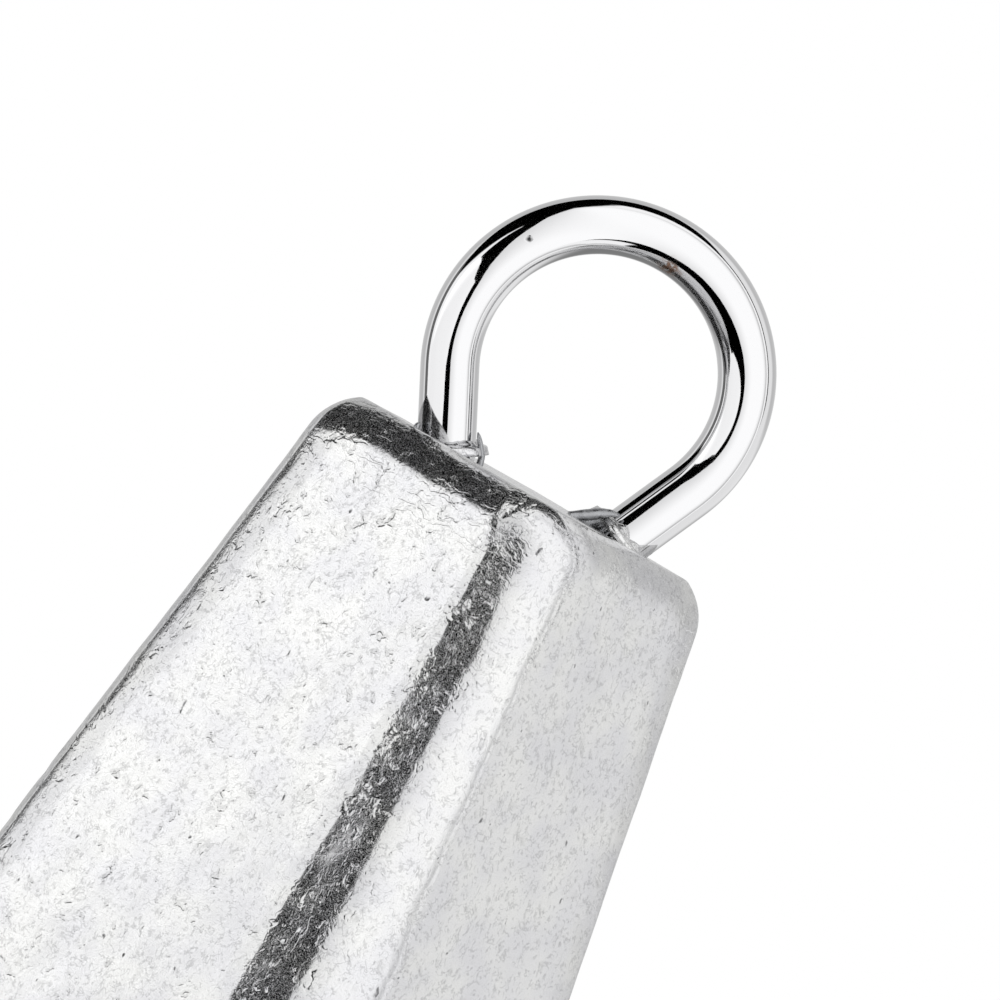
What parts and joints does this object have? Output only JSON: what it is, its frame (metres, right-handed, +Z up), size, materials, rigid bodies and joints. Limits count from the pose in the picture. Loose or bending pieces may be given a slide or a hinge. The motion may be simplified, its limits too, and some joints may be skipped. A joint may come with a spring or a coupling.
{
  "type": "diamond jig",
  "caption": "Heavy four-sided lead fishing jig with cast-in wire eyes, a split ring and a free-swinging treble hook, hanging from its line eye.",
  "frame": {"origin": "centre of the line eye's mount, in the middle of the end of the body that the line is tied to, at the height of the eye loop's centre", "axes": "+Z up along the body towards the line; both wire eyes lie in the XZ plane; the corners of the square body point along X and Y"},
  "size_m": [0.0334, 0.0348, 0.2005],
  "materials": {
    "plated_lead": "satin",
    "polished_wire": "polished",
    "spring_steel": "polished",
    "tinned_hook": "satin",
    "braze_filler": "satin"
  },
  "bodies": {
    "jig": {"lead_body": "plated_lead", "line_eye": "polished_wire", "hook_eye": "polished_wire"},
    "ring": {"split_ring": "spring_steel"},
    "treble": {"treble_double_hook": "tinned_hook", "treble_single_hook": "tinned_hook", "braze_seam_right": "braze_filler", "braze_seam_left": "braze_filler", "braze_seam_back": "braze_filler"}
  },
  "joints": [
    {"name": "ring_swing", "type": "hinge", "parent": "jig", "child": "ring", "pos_m": [0, 0, -0.1367], "axis": [1, 0, 0], "range_deg": [-108, 108]},
    {"name": "treble_swing", "type": "hinge", "parent": "ring", "child": "treble", "pos_m": [0, 0, -0.14725], "axis": [0, 1, 0], "range_deg": [-120, 120]}
  ]
}
